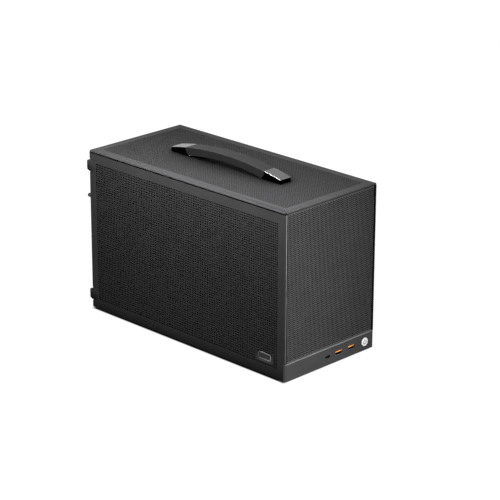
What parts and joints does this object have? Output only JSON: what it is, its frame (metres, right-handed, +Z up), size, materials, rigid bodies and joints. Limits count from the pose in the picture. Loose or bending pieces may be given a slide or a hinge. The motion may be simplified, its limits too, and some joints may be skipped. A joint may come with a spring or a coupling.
{
  "type": "mini-itx computer case",
  "caption": "Small upright computer case of folded, perforated sheet steel with pull-off side panels and front mesh, a port bar with a power button, and a strap handle on top.",
  "frame": {"origin": "on the floor under the middle of the whole case, thumbscrews and power button included", "axes": "+X is the right side seen from the front, the front with the port bar faces -Y, +Z is up"},
  "size_m": [0.166, 0.3698, 0.243],
  "materials": {
    "panel_coat": "fine satin black powder coat",
    "chassis_coat": "satin black powder coat",
    "bar_plastic": "finely textured moulding",
    "button_plastic": "satin",
    "grip_rubber": "soft matt, finely grained",
    "cap_metal": "satin dark anodised",
    "foot_rubber": "matt",
    "port_metal": "bright drawn",
    "port_orange": "satin",
    "black_plastic": "satin moulding",
    "circuit_board": "lacquered",
    "brass": "turned",
    "fastener_steel": "zinc plated",
    "fastener_black": "black oxide"
  },
  "bodies": {
    "chassis": {"base_pan": "chassis_coat", "front_frame": "chassis_coat", "rear_panel": "chassis_coat", "top_frame": "chassis_coat", "motherboard_tray": "chassis_coat", "motherboard_standoffs": "brass", "psu_bracket": "chassis_coat", "slot_cover_1": "chassis_coat", "slot_cover_2": "chassis_coat", "slot_screws": "fastener_steel", "ac_inlet": "black_plastic", "ac_blades": "port_metal", "ac_inlet_screws": "fastener_steel", "base_rivets": "fastener_black", "top_rivets": "fastener_black", "front_bar": "bar_plastic", "front_bar_screws": "fastener_steel", "io_board": "circuit_board", "io_board_spacers": "brass", "io_board_screws": "fastener_steel", "usb_c_port": "port_metal", "usb_a_shell_1": "port_metal", "usb_a_shell_2": "port_metal", "usb_a_insert_1": "port_orange", "usb_a_insert_2": "port_orange", "power_switch": "black_plastic", "top_panel": "panel_coat", "side_clips": "black_plastic", "front_clips": "black_plastic", "thumbscrew_left": "fastener_black", "thumbscrew_right": "fastener_black", "handle_grip": "grip_rubber", "handle_cap_front": "cap_metal", "handle_cap_rear": "cap_metal", "handle_screws": "fastener_steel", "foot_front_left": "foot_rubber", "foot_front_right": "foot_rubber", "foot_rear_left": "foot_rubber", "foot_rear_right": "foot_rubber"},
    "left_side": {"left_panel": "panel_coat", "left_panel_studs": "fastener_steel", "side_badge": "cap_metal"},
    "right_side": {"right_panel": "panel_coat", "right_panel_studs": "fastener_steel"},
    "front_screen": {"front_mesh": "panel_coat", "front_mesh_studs": "fastener_steel"},
    "button": {"power_button": "button_plastic"}
  },
  "joints": [
    {"name": "left_panel_pull", "type": "slide", "parent": "chassis", "child": "left_side", "axis": [-1, 0, 0], "range_m": [0, 0.08]},
    {"name": "right_panel_pull", "type": "slide", "parent": "chassis", "child": "right_side", "axis": [1, 0, 0], "range_m": [0, 0.08]},
    {"name": "front_mesh_pull", "type": "slide", "parent": "chassis", "child": "front_screen", "axis": [0, -1, 0], "range_m": [0, 0.08]},
    {"name": "power_button_press", "type": "slide", "parent": "chassis", "child": "button", "axis": [0, 1, 0], "range_m": [0, 0.0008], "stiffness_N_per_m": 400, "springref_m": -0.002}
  ]
}
